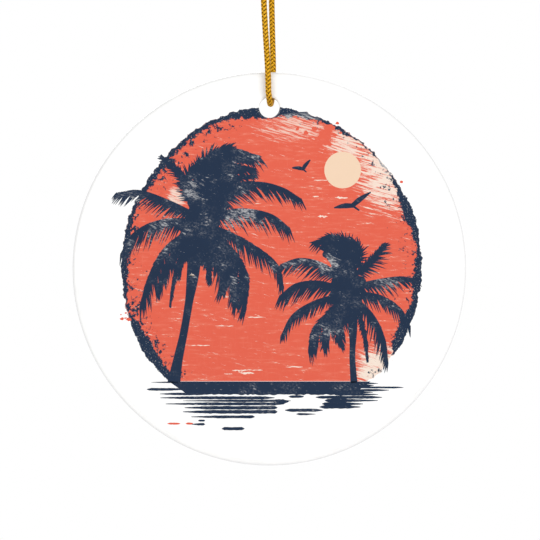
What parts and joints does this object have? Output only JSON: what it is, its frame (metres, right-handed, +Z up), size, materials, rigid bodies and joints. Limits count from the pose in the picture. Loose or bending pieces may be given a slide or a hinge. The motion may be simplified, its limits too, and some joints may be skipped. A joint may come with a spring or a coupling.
{
  "type": "hanging ornament",
  "caption": "Round white glazed ceramic ornament with a printed tropical sunset, hung from a hole near its rim on a knotted loop of gold braided cord.",
  "frame": {"origin": "the point where a hook bears inside the cord loop, right under the knot", "axes": "+Z up along the hanging cord, printed face towards -Y, +X to the right as the picture is seen"},
  "size_m": [0.073, 0.0056, 0.1292],
  "materials": {
    "gold_braid": "metallic yarn braid with a soft lustre",
    "ceramic_glaze": "white gloss glaze",
    "printed_coat": "clear gloss coat holding a coral, navy and cream dye picture on white",
    "plain_coat": "clear gloss coat over white"
  },
  "bodies": {
    "knot": {"overhand_knot": "gold_braid", "front_tail": "gold_braid", "back_tail": "gold_braid"},
    "upper_loop": {"front_strand_top": "gold_braid", "back_strand_top": "gold_braid"},
    "middle_loop": {"front_strand_middle": "gold_braid", "back_strand_middle": "gold_braid"},
    "lower_loop": {"cord_bight": "gold_braid"},
    "disc": {"ceramic_blank": "ceramic_glaze", "front_coat": "printed_coat", "back_coat": "plain_coat"}
  },
  "joints": [
    {"name": "side_swing", "type": "hinge", "parent": "knot", "child": "upper_loop", "pos_m": [0, 0, 0], "axis": [0, 1, 0], "range_deg": [-40, 40]},
    {"name": "fore_swing", "type": "hinge", "parent": "upper_loop", "child": "middle_loop", "pos_m": [0, 0, -0.01], "axis": [1, 0, 0], "range_deg": [-40, 40]},
    {"name": "cord_twist", "type": "hinge", "parent": "middle_loop", "child": "lower_loop", "pos_m": [0, 0, -0.022], "axis": [0, 0, 1], "range_deg": [-180, 180]},
    {"name": "disc_rock", "type": "hinge", "parent": "lower_loop", "child": "disc", "pos_m": [0, 0, -0.052], "axis": [0, 1, 0], "range_deg": [-60, 60]}
  ]
}
